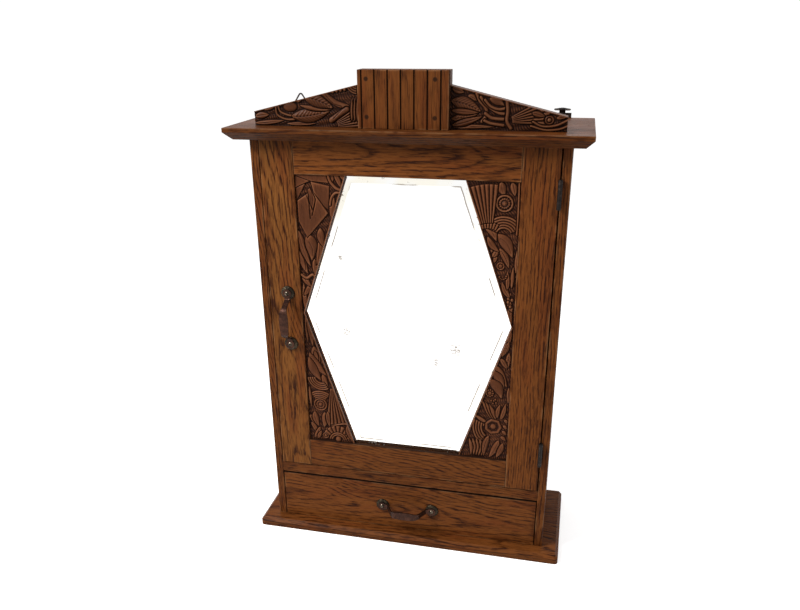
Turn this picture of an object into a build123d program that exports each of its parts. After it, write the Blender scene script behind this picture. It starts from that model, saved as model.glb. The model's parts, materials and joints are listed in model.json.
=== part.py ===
# Oak wall cabinet: a mirror door over a drawer, with a carved crest on its top board.
# Millimetres, +Z up, front towards -Y. The origin is the middle of the base board's underside,
# halfway between the front edge of the top board and the back of the cabinet.
import os
from math import hypot

from build123d import *

os.makedirs("parts", exist_ok=True)

# ---------------------------------------------------------------- driving dimensions
# Carcase
carcase_width = 400.0
carcase_height = 565.0       # from base board to top board
carcase_depth = 148.0
side_thickness = 11.0
top_thickness = 15.0
top_side_overhang = 23.5
top_front_overhang = 27.5
top_bevel = 9.5              # bevel under the top board's edge
base_thickness = 13.0
base_side_overhang = 24.0
base_front_overhang = 19.5
base_bevel = 4.5             # bevel on the base board's upper edge
base_corner_radius = 5.0
divider_thickness = 16.0
drawer_space = 76.5          # clear height between base board and divider
back_thickness = 7.0
back_rebate = 5.0            # how far the back boards reach into each side
back_board_count = 3
shelf_thickness = 10.0
shelf_count = 2
shelf_setback = 28.0         # shelf front edge behind the carcase front
cleat_size = 12.0
edge_round = 0.7             # softened arris of every board
stop_length = 30.0
door_stop_height = 10.0
door_stop_depth = 12.0

# Crest
crest_half_width = 191.0
crest_end_height = 17.0
crest_shoulder_height = 50.3  # height of a wing where it meets the block
crest_thickness = 16.0
crest_setback = 0.5           # wing face behind the carcase front
block_half_width = 55.0
block_height = 67.0
reeded_thickness = 7.5
reed_pitch = 15.9
reed_first_margin = 5.0       # first groove from the block's left edge
reed_count = 7
reed_groove_width = 2.6
reed_groove_depth = 1.8
face_nail_x = (-44.2, 38.4)
face_nail_height = (13.7, 56.8)

# Door
door_thickness = 20.0
door_proud = 1.5             # door face in front of the carcase front
door_side_gap = 1.5
door_top_gap = 1.5
door_bottom_gap = 1.4
stile_width = 44.5
bottom_rail_height = 43.0
top_rail_height = 42.0
lip_thickness = 5.5          # frame in front of the rebate
rebate_width = 6.5
sight_end_half_width = 76.0  # half the top and bottom edges of the mirror opening
sight_tip_margin = 2.5       # spandrel left between the opening's side corners and the stile
sight_corner_rise = 4.6      # side corners above the middle of the opening
spandrel_setback = 1.0
glass_thickness = 4.0
glass_cover = 6.0            # glass hidden behind the spandrels and rails
glass_bevel_width = 15.0
glass_edge_drop = 1.5
backing_thickness = 4.0
bead_width = 8.0

# Drawer
drawer_front_thickness = 12.0
drawer_wall = 8.0
drawer_wall_height = 58.0
drawer_stop_depth = 8.7      # blocks behind the drawer
drawer_stop_height = 20.0
drawer_stop_share = 0.7      # their middles, as a share of the inner half-width
drawer_bottom_thickness = 4.0
drawer_bottom_lift = 6.0
drawer_groove = 4.0
drawer_side_gap = 1.2
drawer_front_top_gap = 2.2
drawer_front_bottom_gap = 0.5

# Pulls
pull_spacing = 74.0
rosette_radius = 10.0
rosette_thickness = 3.0
band_thickness = 1.8
band_projection = 24.0       # outer face of the band from the wood
band_tab_radius = 6.0
band_neck_width = 7.0
band_grip_half_length = 18.0
band_grip_half_width = 6.2
pull_head_radius = 3.2
pull_head_height = 1.6
pull_slot_width = 0.8
pull_shank = 1.6
pull_screw_depth = 9.0
rosette_round_share = 0.6    # rounded rim, as a share of the rosette's thickness
band_foot_run = 8.0          # flat foot from the screw towards the middle
band_foot_radius = 4.0
band_crown_radius = 9.0
band_grip_overrun = 8.0      # the oval grip past the flat crown at each end
door_pull_height = 325.0     # middle of the door pull above the base board
door_pull_inset = 26.0       # door pull from the stile's outer edge
drawer_pull_height = 38.0
drawer_pull_offset = 1.8

# Hinges
hinge_length = 34.0
hinge_knuckle_radius = 2.8
hinge_pin_radius = 1.3
hinge_leaf_thickness = 1.2
hinge_leaf_depth = 13.0      # from the wood's front face back
hinge_lower_height = 137.0   # lower end of the lower hinge above the base board
hinge_upper_height = 492.0   # lower end of the upper hinge above the base board
hinge_face_gap = 0.3         # knuckle in front of the door face
hinge_pin_head_inset = 0.4   # pin head radius under the knuckle's
hinge_pin_head_thickness = 1.0
hinge_screw_share = 0.6      # screws' place across each leaf

# Ball catch
catch_height = 300.0         # above the base board
catch_inset = 10.0           # ball centre behind the door face
catch_ball_radius = 3.0
catch_reach = 0.9            # ball past the door edge
catch_lip = 0.3
catch_mouth_radius = 2.6
catch_barrel_radius = 4.2
catch_barrel_length = 12.0
catch_barrel_end = 1.2       # wall closing the barrel's inner end
strike_thickness = 1.0
strike_length = 26.0
strike_width = 11.0
strike_screw_margin = 4.0

# Hanging eyes
hanger_x = 181.0
hanger_plate_width = 24.0
hanger_plate_height = 18.7
hanger_plate_thickness = 1.5
hanger_plate_rise = 6.0      # plate above the top board
hanger_loop_rise = 10.0      # loop axis above the top board
hanger_loop_radius = 2.4
hanger_loop_width = 8.0
hanger_wire_radius = 1.1
hanger_ring_half_width = 12.0
hanger_ring_height = 18.0
hanger_ring_corner = 2.5
hanger_screw_share = 0.62    # screws' places across half the plate
hanger_rest_lean = {"left": 0.0, "right": 90.0}  # degrees back from upright

# Fasteners
dowel_radius = 3.0
dowel_depth = 14.0           # into each side's top end
dowel_share = 0.6            # of the top board's thickness
row_shares = (0.15, 0.5, 0.85)  # fastener rows, front to back
wing_screw_shares = (0.25, 0.6)
bead_pin_shares = (0.2, 0.8)
slot_width = 0.5             # small screw heads

# Clearances
fastener_clearance = 0.05
pin_clearance = 0.05
seat_gap = 0.3
board_gap = 0.4

# ---------------------------------------------------------------- planes worked out from them
base_top = base_thickness
carcase_top = base_top + carcase_height
crest_base = carcase_top + top_thickness
back_y = (carcase_depth + top_front_overhang) / 2
front_y = back_y - carcase_depth
inner_back_y = back_y - back_thickness
half_width = carcase_width / 2
inner_half = half_width - side_thickness
divider_bottom = base_top + drawer_space
divider_top = divider_bottom + divider_thickness

door_half = inner_half - door_side_gap
door_front = front_y - door_proud
door_back = door_front + door_thickness
door_bottom = divider_top + door_bottom_gap
door_top = carcase_top - door_top_gap
opening_half = door_half - stile_width
opening_bottom = door_bottom + bottom_rail_height
opening_top = door_top - top_rail_height
sight_side_half = opening_half - sight_tip_margin
sight_side_z = (opening_bottom + opening_top) / 2 + sight_corner_rise

drawer_depth = carcase_depth - back_thickness - drawer_stop_depth - seat_gap
hinge_axis_x = inner_half - door_side_gap / 2
hinge_axis_y = door_front - hinge_face_gap - hinge_knuckle_radius

parts = {}


# ---------------------------------------------------------------- helpers
def block(x, y, z):
    """A plain box between pairs of limits."""
    size = [high - low for low, high in (x, y, z)]
    middle = [(high + low) / 2 for low, high in (x, y, z)]
    return Pos(*middle) * Box(*size)


def board(x, y, z, radius=edge_round):
    """A box with softened arrises."""
    solid = block(x, y, z)
    return fillet(solid.edges(), radius)


def front_prism(points, y_from, y_to):
    """An outline of (x, z) points, given front view, filled between two depths."""
    plane = Plane(origin=(0, y_from, 0), x_dir=(1, 0, 0), z_dir=(0, -1, 0))
    outline = plane * make_face(Polyline(*points, close=True))
    return extrude(outline, amount=y_to - y_from, dir=(0, 1, 0))


def group(solids):
    """Several separate solids kept as one node."""
    return Compound(children=list(solids))


def mirrored(solid):
    """The same solid on the other side of the cabinet's middle."""
    return mirror(solid, about=Plane.YZ)


def rod(at, direction, radius, length):
    """A cylinder that starts at a point and runs along a direction."""
    place = Plane(origin=at, z_dir=direction)
    return place * Cylinder(radius, length, align=(Align.CENTER, Align.CENTER, Align.MIN))


def countersunk(at, direction, shank, length, head, slot=0.6, grow=0.0):
    """A screw or nail with its head face at a point. With grow it is the hole that takes it."""
    place = Plane(origin=at, z_dir=direction)
    low = (Align.CENTER, Align.CENTER, Align.MIN)
    cone_height = head - shank
    solid = Cylinder(shank + grow, length + grow, align=low)
    solid += Cone(head + grow, shank + grow, cone_height, align=low)
    if grow:
        solid += Cylinder(head + grow, seat_gap, align=(Align.CENTER, Align.CENTER, Align.MAX))
    elif slot:
        solid -= Box(slot, 3 * head, 2 * slot)
    return place * solid


def fix(node, holes_in, screws, shank, length, head, slot=0.6):
    """Makes a node of fasteners and cuts the hole of each in the pieces it passes through."""
    solids = []
    for at, direction in screws:
        solids.append(countersunk(at, direction, shank, length, head, slot))
        hole = countersunk(at, direction, shank, length, head, grow=fastener_clearance)
        reach = hole.bounding_box()
        for name in holes_in:
            if boxes_meet(reach, parts[name].bounding_box()):
                parts[name] = parts[name] - hole
    parts[node] = group(solids)


def boxes_meet(a, b):
    """True where two bounding boxes share some space."""
    along_x = a.min.X < b.max.X and b.min.X < a.max.X
    along_y = a.min.Y < b.max.Y and b.min.Y < a.max.Y
    along_z = a.min.Z < b.max.Z and b.min.Z < a.max.Z
    return along_x and along_y and along_z


# ---------------------------------------------------------------- carcase
def make_sides():
    side = board((inner_half, half_width), (front_y, back_y), (base_top, carcase_top))
    rebate = block(
        (inner_half - 1, inner_half + back_rebate), (inner_back_y, back_y + 1), (base_top - 1, carcase_top + 1)
    )
    parts["side_right"] = side - rebate
    parts["side_left"] = mirrored(side - rebate)


def make_top_board():
    reach = half_width + top_side_overhang
    front = front_y - top_front_overhang
    solid = block((-reach, reach), (front, back_y), (carcase_top, crest_base))
    low_edges = solid.edges().filter_by_position(Axis.Z, carcase_top, carcase_top)
    bevelled = low_edges.sort_by(Axis.Y)[:-1]
    solid = chamfer(bevelled, top_bevel)
    top_edges = solid.edges().filter_by_position(Axis.Z, crest_base, crest_base)
    parts["top_board"] = fillet(top_edges, edge_round)


def make_base_board():
    reach = half_width + base_side_overhang
    front = front_y - base_front_overhang
    solid = block((-reach, reach), (front, back_y), (0, base_thickness))
    corners = solid.edges().filter_by(Axis.Z).sort_by(Axis.Y)[:2]
    solid = fillet(corners, base_corner_radius)
    top_edges = solid.edges().filter_by_position(Axis.Z, base_thickness, base_thickness)
    parts["base_board"] = chamfer(top_edges.sort_by(Axis.Y)[:-1], base_bevel)


def make_inner_boards():
    depth = (front_y, inner_back_y)
    parts["divider_board"] = board((-inner_half, inner_half), depth, (divider_bottom, divider_top))
    reach = inner_half + back_rebate - seat_gap
    width = (2 * reach - board_gap * (back_board_count - 1)) / back_board_count
    boards = []
    for i in range(back_board_count):
        left = -reach + i * (width + board_gap)
        boards.append(board((left, left + width), (inner_back_y, back_y), (base_top, carcase_top)))
    parts["back_boards"] = group(boards)
    shelf_reach = inner_half - seat_gap
    cupboard = carcase_top - divider_top
    shelf_depth = (front_y + shelf_setback, inner_back_y)
    cleats = []
    for i in range(shelf_count):
        z = divider_top + cupboard * (i + 1) / (shelf_count + 1)
        name = ("shelf_lower", "shelf_upper")[i] if shelf_count == 2 else f"shelf_{i + 1}"
        parts[name] = board((-shelf_reach, shelf_reach), shelf_depth, (z, z + shelf_thickness))
        for x in ((-inner_half, cleat_size - inner_half), (inner_half - cleat_size, inner_half)):
            cleats.append(board(x, (shelf_depth[0] + cleat_size, inner_back_y), (z - cleat_size, z)))
    parts["shelf_cleats"] = group(cleats)


def make_stops():
    near = door_back + seat_gap
    x = (-inner_half, stop_length - inner_half)
    y = (near, near + door_stop_depth)
    upper = board(x, y, (carcase_top - door_stop_height, carcase_top))
    lower = board(x, y, (divider_top, divider_top + door_stop_height))
    parts["door_stops"] = group([upper, lower])
    behind = front_y + drawer_depth + seat_gap
    stops = []
    for side in (-1, 1):
        middle = side * inner_half * drawer_stop_share
        x = (middle - stop_length / 2, middle + stop_length / 2)
        stops.append(board(x, (behind, inner_back_y), (base_top, base_top + drawer_stop_height)))
    parts["drawer_stops"] = group(stops)


# ---------------------------------------------------------------- crest
def make_crest():
    wing_y = (front_y + crest_setback, front_y + crest_setback + crest_thickness)
    outline = [
        (block_half_width, crest_base),
        (crest_half_width, crest_base),
        (crest_half_width, crest_base + crest_end_height),
        (block_half_width, crest_base + crest_shoulder_height),
    ]
    wing = front_prism(outline, *wing_y)
    wing = fillet(wing.edges(), edge_round)
    parts["crest_wing_right"] = wing
    parts["crest_wing_left"] = mirrored(wing)
    width = (-block_half_width, block_half_width)
    height = (crest_base, crest_base + block_height)
    parts["crest_block"] = board(width, wing_y, height)
    face = board(width, (wing_y[0] - reeded_thickness, wing_y[0]), height)
    half = reed_groove_width / 2
    groove_front = wing_y[0] - reeded_thickness
    for i in range(reed_count):
        x = -block_half_width + reed_first_margin + i * reed_pitch
        vee = Polyline(
            (x - half, groove_front), (x + half, groove_front), (x, groove_front + reed_groove_depth), close=True
        )
        cut = extrude(Pos(0, 0, crest_base - 1) * make_face(vee), amount=block_height + 2, dir=(0, 0, 1))
        face = face - cut
    parts["crest_reeded_face"] = face


# ---------------------------------------------------------------- door
def make_door_frame():
    depth = (door_front, door_back)
    rebate = block(
        (-opening_half - rebate_width, opening_half + rebate_width),
        (door_front + lip_thickness, door_back + 1),
        (opening_bottom - rebate_width, opening_top + rebate_width),
    )
    stile = board((opening_half, door_half), depth, (door_bottom, door_top)) - rebate
    parts["door_stile_right"] = stile
    parts["door_stile_left"] = mirrored(stile)
    width = (-opening_half, opening_half)
    parts["door_rail_top"] = board(width, depth, (opening_top, door_top)) - rebate
    parts["door_rail_bottom"] = board(width, depth, (door_bottom, opening_bottom)) - rebate


def hexagon(cover):
    """Half-widths at the ends and at the side corners of the mirror outline, grown by a cover."""
    outlines = []
    for end_z, sign in ((opening_top, 1), (opening_bottom, -1)):
        run = sight_side_half - sight_end_half_width
        rise = abs(end_z - sight_side_z)
        side_shift = cover * hypot(run, rise) / rise
        end_half = sight_end_half_width + side_shift - cover * run / rise
        outlines.append((end_half, end_z + sign * cover, sight_side_half + side_shift))
    (top_half, top_z, upper_side), (bottom_half, bottom_z, lower_side) = outlines
    side_half = (upper_side + lower_side) / 2
    return [
        (-top_half, top_z),
        (top_half, top_z),
        (side_half, sight_side_z),
        (bottom_half, bottom_z),
        (-bottom_half, bottom_z),
        (-side_half, sight_side_z),
    ]


def make_spandrels():
    face_y = door_front + spandrel_setback
    lip_y = door_front + lip_thickness
    back = lip_y + glass_thickness
    outer_half = opening_half + rebate_width - seat_gap
    glass = front_prism(hexagon(glass_cover + seat_gap), lip_y - 1, back + 1)
    for end, end_z, sign in (("upper", opening_top, 1), ("lower", opening_bottom, -1)):
        shown = front_prism(
            [
                (opening_half, end_z),
                (sight_end_half_width, end_z),
                (sight_side_half, sight_side_z),
                (opening_half, sight_side_z),
            ],
            face_y,
            lip_y,
        )
        outer_z = end_z + sign * (rebate_width - seat_gap)
        limits = sorted((sight_side_z, outer_z))
        flange = block((sight_end_half_width, outer_half), (lip_y, back), limits) - glass
        flange = flange.solids().sort_by(SortBy.VOLUME)[-1]
        spandrel = (shown + flange).clean()
        parts[f"spandrel_{end}_right"] = spandrel
        parts[f"spandrel_{end}_left"] = mirrored(spandrel)


def make_mirror():
    front = door_front + lip_thickness
    shoulder = front + glass_edge_drop
    back = front + glass_thickness
    slab = front_prism(hexagon(glass_cover), shoulder, back)
    plane_edge = Plane(origin=(0, shoulder, 0), x_dir=(1, 0, 0), z_dir=(0, -1, 0))
    plane_front = Plane(origin=(0, front, 0), x_dir=(1, 0, 0), z_dir=(0, -1, 0))
    edge = plane_edge * make_face(Polyline(*hexagon(glass_cover), close=True))
    flat = plane_front * make_face(Polyline(*hexagon(glass_cover - glass_bevel_width), close=True))
    parts["mirror_glass"] = (slab + loft([edge, flat], ruled=True)).clean()
    half = opening_half + rebate_width - seat_gap
    low = opening_bottom - rebate_width + seat_gap
    high = opening_top + rebate_width - seat_gap
    backing_y = (back, back + backing_thickness)
    parts["mirror_backing_board"] = block((-half, half), backing_y, (low, high))
    bead_y = (backing_y[1], door_back)
    inner = half - bead_width
    upright = board((inner, half), bead_y, (low, high), edge_round)
    beads = [upright, mirrored(upright)]
    for z in ((low, low + bead_width), (high - bead_width, high)):
        beads.append(board((-inner, inner), bead_y, z, edge_round))
    parts["mirror_beads"] = group(beads)


# ---------------------------------------------------------------- drawer
def make_drawer():
    reach = inner_half - drawer_side_gap
    top = divider_bottom - drawer_front_top_gap
    front = board(
        (-reach, reach), (front_y, front_y + drawer_front_thickness), (base_top + drawer_front_bottom_gap, top)
    )
    low = base_top + seat_gap
    wall_z = (low, low + drawer_wall_height)
    wall_y = (front_y + drawer_front_thickness, front_y + drawer_depth)
    wall = board((reach - drawer_wall, reach), wall_y, wall_z)
    inner = reach - drawer_wall
    back = board((-inner, inner), (wall_y[1] - drawer_wall, wall_y[1]), wall_z)
    floor_z = low + drawer_bottom_lift
    slack = seat_gap
    groove = block(
        (-inner - drawer_groove, inner + drawer_groove),
        (wall_y[0] - drawer_groove, wall_y[1] - drawer_wall + drawer_groove),
        (floor_z, floor_z + drawer_bottom_thickness),
    )
    parts["drawer_front"] = front - groove
    parts["drawer_side_right"] = wall - groove
    parts["drawer_side_left"] = mirrored(wall - groove)
    parts["drawer_back"] = back - groove
    parts["drawer_bottom"] = block(
        (-inner - drawer_groove + slack, inner + drawer_groove - slack),
        (wall_y[0] - drawer_groove + slack, wall_y[1] - drawer_wall + drawer_groove - slack),
        (floor_z, floor_z + drawer_bottom_thickness),
    )


# ---------------------------------------------------------------- pulls
def band_profile():
    """The bent band seen from the side: along the pull in x, out from the wood in y."""
    tab = rosette_thickness + band_thickness / 2
    crown = band_projection - band_thickness / 2
    end = pull_spacing / 2 + band_tab_radius
    foot = pull_spacing / 2 - band_foot_run
    shoulder = band_grip_half_length
    path = FilletPolyline(
        (-end, tab), (-foot, tab), (-shoulder, crown), (shoulder, crown), (foot, tab), (end, tab),
        radius=(band_foot_radius, band_crown_radius, band_crown_radius, band_foot_radius),
    )
    return trace(path, line_width=band_thickness)


def make_pull_pieces():
    """Band, rosettes and screws with the wood at y = 0, lying along x, standing out towards -y."""
    lay = Plane(origin=(0, 0, -2 * band_tab_radius), x_dir=(1, 0, 0), z_dir=(0, 0, 1))
    profile = lay * mirror(band_profile(), about=Plane.XZ)
    band = extrude(profile, amount=4 * band_tab_radius, dir=(0, 0, 1))
    outline = Rectangle(pull_spacing, band_neck_width)
    outline += Ellipse(band_grip_half_length + band_grip_overrun, band_grip_half_width)
    for x in (-pull_spacing / 2, pull_spacing / 2):
        outline += Pos(x, 0) * Circle(band_tab_radius)
    seen_from_front = Plane(origin=(0, 1, 0), x_dir=(1, 0, 0), z_dir=(0, -1, 0))
    band = band & extrude(seen_from_front * outline, amount=band_projection + 2, dir=(0, -1, 0))
    rosettes = []
    screws = []
    seat = rosette_thickness + band_thickness
    sphere_radius = (pull_head_radius**2 + pull_head_height**2) / (2 * pull_head_height)
    for x in (-pull_spacing / 2, pull_spacing / 2):
        disc = rod((x, 0, 0), (0, -1, 0), rosette_radius, rosette_thickness)
        rim = disc.edges().filter_by(GeomType.CIRCLE).sort_by(Axis.Y)[0]
        disc = fillet(rim, rosette_thickness * rosette_round_share)
        hole = rod((x, 1, 0), (0, -1, 0), pull_shank + fastener_clearance, seat + 2)
        rosettes.append(disc - hole)
        band = band - hole
        ball = Pos(x, -seat - pull_head_height + sphere_radius, 0) * Sphere(sphere_radius)
        wide = rosette_radius
        cap = ball & block((x - wide, x + wide), (-seat - wide, -seat), (-wide, wide))
        slot_x = (x - pull_slot_width / 2, x + pull_slot_width / 2)
        slot = block(slot_x, (-seat - wide, -seat - pull_head_height / 2), (-wide, wide))
        shank = rod((x, -seat, 0), (0, 1, 0), pull_shank, seat + pull_screw_depth)
        screws.append((cap - slot) + shank)
    return band, rosettes, screws


def make_pulls():
    band, rosettes, screws = make_pull_pieces()
    door_x = -door_half + door_pull_inset
    on_door = Pos(door_x, door_front, base_top + door_pull_height) * Rot(0, 90, 0)
    on_drawer = Pos(drawer_pull_offset, front_y, base_top + drawer_pull_height)
    for name, place, wood in (("door_pull", on_door, "door_stile_left"), ("drawer_pull", on_drawer, "drawer_front")):
        parts[f"{name}_band"] = place * band
        parts[f"{name}_rosettes"] = group([place * rosette for rosette in rosettes])
        parts[f"{name}_screws"] = group([place * screw for screw in screws])
        for x in (-pull_spacing / 2, pull_spacing / 2):
            hole = rod((x, -1, 0), (0, 1, 0), pull_shank + fastener_clearance, pull_screw_depth + 1 + seat_gap)
            parts[wood] = parts[wood] - place * hole


# ---------------------------------------------------------------- hinges
def make_hinges():
    span = hinge_length / 3
    fixed_screws = []
    door_screws = []
    for name, height in (("lower", hinge_lower_height), ("upper", hinge_upper_height)):
        z0 = base_top + height
        z1 = z0 + hinge_length
        middle = (z0 + span + seat_gap / 2, z1 - span - seat_gap / 2)
        ends = ((z0, z0 + span - seat_gap / 2), (z1 - span + seat_gap / 2, z1))
        leaf_x = (inner_half, inner_half + hinge_leaf_thickness)
        fixed = block(leaf_x, (front_y, front_y + hinge_leaf_depth), (z0, z1))
        for z in ends:
            fixed += knuckle(z) + block(leaf_x, (hinge_axis_y, front_y), z)
        door_leaf_x = (door_half - hinge_leaf_thickness, door_half)
        door_leaf = block(door_leaf_x, (door_front, door_front + hinge_leaf_depth), (z0, z1))
        door_leaf += knuckle(middle) + block(door_leaf_x, (hinge_axis_y, door_front), middle)
        bore = rod((hinge_axis_x, hinge_axis_y, z0 - 1), (0, 0, 1), hinge_pin_radius + pin_clearance, hinge_length + 2)
        parts[f"hinge_{name}_fixed_leaf"] = fixed - bore
        parts[f"hinge_{name}_door_leaf"] = door_leaf - bore
        pin = rod((hinge_axis_x, hinge_axis_y, z0), (0, 0, 1), hinge_pin_radius, hinge_length)
        head_radius = hinge_knuckle_radius - hinge_pin_head_inset
        for end_z, direction in ((z0, (0, 0, -1)), (z1, (0, 0, 1))):
            pin += rod((hinge_axis_x, hinge_axis_y, end_z), direction, head_radius, hinge_pin_head_thickness)
        parts[f"hinge_{name}_pin"] = pin
        reach = hinge_leaf_depth + fastener_clearance
        mortise = block((inner_half - 1, leaf_x[1]), (front_y - 1, front_y + reach), (z0, z1))
        parts["side_right"] = parts["side_right"] - mortise
        mortise = block((door_leaf_x[0], door_half + 1), (door_front - 1, door_front + reach), (z0, z1))
        parts["door_stile_right"] = parts["door_stile_right"] - mortise
        for z in (z0 + span / 2, z1 - span / 2):
            screw_y = hinge_leaf_depth * hinge_screw_share
            fixed_screws.append(((inner_half, front_y + screw_y, z), (1, 0, 0)))
            door_screws.append(((door_half, door_front + screw_y, z), (-1, 0, 0)))
    leaves = ["hinge_lower_fixed_leaf", "hinge_upper_fixed_leaf", "side_right"]
    fix("hinge_screws_fixed", leaves, fixed_screws, shank=1.2, length=8.0, head=2.3, slot=slot_width)
    leaves = ["hinge_lower_door_leaf", "hinge_upper_door_leaf", "door_stile_right"]
    fix("hinge_screws_door", leaves, door_screws, shank=1.2, length=12.0, head=2.3, slot=slot_width)


def knuckle(z):
    return rod((hinge_axis_x, hinge_axis_y, z[0]), (0, 0, 1), hinge_knuckle_radius, z[1] - z[0])


# ---------------------------------------------------------------- ball catch
def make_catch():
    y = door_front + catch_inset
    z = base_top + catch_height
    edge_x = -door_half
    body = rod((edge_x, y, z), (1, 0, 0), catch_barrel_radius, catch_barrel_length)
    mouth = rod((edge_x - 1, y, z), (1, 0, 0), catch_mouth_radius, catch_lip + 2)
    hollow = catch_barrel_length - catch_lip - catch_barrel_end
    inside = rod((edge_x + catch_lip, y, z), (1, 0, 0), catch_ball_radius + 2 * pin_clearance, hollow)
    parts["catch_barrel"] = body - mouth - inside
    ball_x = edge_x - catch_reach + catch_ball_radius
    parts["catch_ball"] = Pos(ball_x, y, z) * Sphere(catch_ball_radius)
    socket = rod((edge_x - 1, y, z), (1, 0, 0), catch_barrel_radius + fastener_clearance, catch_barrel_length + 1)
    parts["door_stile_left"] = parts["door_stile_left"] - socket
    half_y = strike_width / 2
    half_z = strike_length / 2
    plate = block((-inner_half - strike_thickness, -inner_half), (y - half_y, y + half_y), (z - half_z, z + half_z))
    pocket = block((-inner_half - strike_thickness, 1 - inner_half), (y - half_y, y + half_y), (z - half_z, z + half_z))
    dimple = rod((1 - inner_half, y, z), (-1, 0, 0), catch_mouth_radius, 1 + 2 * strike_thickness)
    parts["catch_strike"] = plate - dimple
    parts["side_left"] = parts["side_left"] - pocket - dimple
    screw_z = half_z - strike_screw_margin
    screws = [((-inner_half, y, z + end * screw_z), (-1, 0, 0)) for end in (-1, 1)]
    fix("strike_screws", ["catch_strike", "side_left"], screws, shank=1.2, length=8.0, head=2.2, slot=slot_width)


# ---------------------------------------------------------------- hanging eyes
def make_hangers():
    axis_z = crest_base + hanger_loop_rise
    axis_y = back_y - hanger_loop_radius
    plate_top = crest_base + hanger_plate_rise
    plate_y = (back_y - hanger_plate_thickness, back_y)
    plate_z = (plate_top - hanger_plate_height, plate_top)
    half = hanger_plate_width / 2
    half_loop = hanger_loop_width / 2
    screws = []
    for side, x in (("left", -hanger_x), ("right", hanger_x)):
        plate = block((x - half, x + half), plate_y, plate_z)
        plate += block((x - half_loop, x + half_loop), plate_y, (plate_z[0], axis_z))
        plate += rod((x - half_loop, axis_y, axis_z), (1, 0, 0), hanger_loop_radius, hanger_loop_width)
        eye = rod((x - half, axis_y, axis_z), (1, 0, 0), hanger_wire_radius + pin_clearance, hanger_plate_width)
        parts[f"hanger_plate_{side}"] = plate - eye
        pocket = block((x - half, x + half), (plate_y[0], back_y + 1), (plate_z[0], plate_top))
        parts["top_board"] = parts["top_board"] - pocket
        screw_z = (plate_z[0] + crest_base) / 2
        for step in (-1, 1):
            screws.append(((x + step * half * hanger_screw_share, back_y, screw_z), (0, -1, 0)))
        parts[f"hanger_ring_{side}"] = Pos(x, axis_y, axis_z) * hanger_ring(hanger_rest_lean[side])
    plates = ["hanger_plate_left", "hanger_plate_right", "top_board"]
    fix("hanger_screws", plates, screws, shank=1.5, length=20.0, head=2.8, slot=slot_width)


def hanger_ring(lean):
    """A triangle of wire standing on its lower bar, which is the axis at the origin."""
    points = [(-hanger_ring_half_width, 0), (hanger_ring_half_width, 0), (0, hanger_ring_height)]
    outline = make_face(Polyline(*points, close=True))
    outline = fillet(outline.vertices(), hanger_ring_corner)
    path = Plane.XZ * outline
    wire = path.face().outer_wire()
    start = wire @ 0
    section = Plane(origin=start, z_dir=wire % 0) * Circle(hanger_wire_radius)
    ring = sweep(section, path=wire)
    return Rot(-lean, 0, 0) * ring


# ---------------------------------------------------------------- fasteners
def add_fasteners():
    side_x = half_width - side_thickness / 2
    rows = [front_y + carcase_depth * share for share in row_shares]
    dowels = []
    for x in (-side_x, side_x):
        for y in rows:
            start = (x, y, carcase_top - dowel_depth)
            length = dowel_depth + top_thickness * dowel_share
            dowels.append(rod(start, (0, 0, 1), dowel_radius, length))
            hole = rod(start, (0, 0, 1), dowel_radius + fastener_clearance, length)
            name = "side_left" if x < 0 else "side_right"
            parts[name] = parts[name] - hole
            parts["top_board"] = parts["top_board"] - hole
    parts["top_dowels"] = group(dowels)

    up = (0, 0, 1)
    screws = [((x, y, seat_gap), up) for x in (-side_x, side_x) for y in rows]
    fix("base_screws", ["base_board", "side_left", "side_right"], screws, shank=1.8, length=36.0, head=3.6)

    crest_y = front_y + crest_setback + crest_thickness / 2
    crest_x = [share * block_half_width for share in (-0.5, 0.5)]
    for share in wing_screw_shares:
        x = block_half_width + share * (crest_half_width - block_half_width)
        crest_x += [-x, x]
    screws = [((x, crest_y, carcase_top), up) for x in crest_x]
    wood = ["top_board", "crest_block", "crest_wing_left", "crest_wing_right"]
    fix("crest_screws", wood, screws, shank=1.6, length=top_thickness + 14.0, head=3.2)

    face = front_y + crest_setback - reeded_thickness
    nails = [((x, face + 0.4, crest_base + z), (0, 1, 0)) for x in face_nail_x for z in face_nail_height]
    fix("crest_nails", ["crest_reeded_face", "crest_block"], nails, shank=0.9, length=18.0, head=1.7, slot=0)

    nails = []
    nail_z = divider_bottom + divider_thickness / 2
    reach = inner_half + back_rebate
    width = 2 * reach / back_board_count
    for i in range(back_board_count):
        for x in (-reach + (i + 0.25) * width, -reach + (i + 0.75) * width):
            nails.append(((x, back_y, nail_z), (0, -1, 0)))
    fix("back_nails", ["back_boards", "divider_board"], nails, shank=0.9, length=20.0, head=1.8, slot=0)

    half = opening_half + rebate_width - seat_gap
    y = door_back - (door_thickness - lip_thickness - glass_thickness - backing_thickness) / 2
    pins = []
    for share in bead_pin_shares:
        z = opening_bottom + share * (opening_top - opening_bottom)
        for side in (-1, 1):
            pins.append(((side * (half - bead_width), y, z), (side, 0, 0)))
            x = side * (half - bead_width) * share
            low = opening_bottom - rebate_width + seat_gap + bead_width
            high = opening_top + rebate_width - seat_gap - bead_width
            pins.append(((x, y, low if share < 0.5 else high), (0, 0, -1 if share < 0.5 else 1)))
    wood = ["mirror_beads", "door_stile_left", "door_stile_right", "door_rail_top", "door_rail_bottom"]
    fix("bead_pins", wood, pins, shank=0.5, length=13.0, head=0.8, slot=0)


make_sides()
make_top_board()
make_base_board()
make_inner_boards()
make_stops()
make_crest()
make_door_frame()
make_spandrels()
make_mirror()
make_drawer()
make_pulls()
make_hinges()
make_catch()
make_hangers()
add_fasteners()

for name, shape in parts.items():
    export_step(shape, f"parts/{name}.step")
print(len(parts), "nodes;", "hinge axis", hinge_axis_x, hinge_axis_y)
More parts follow.
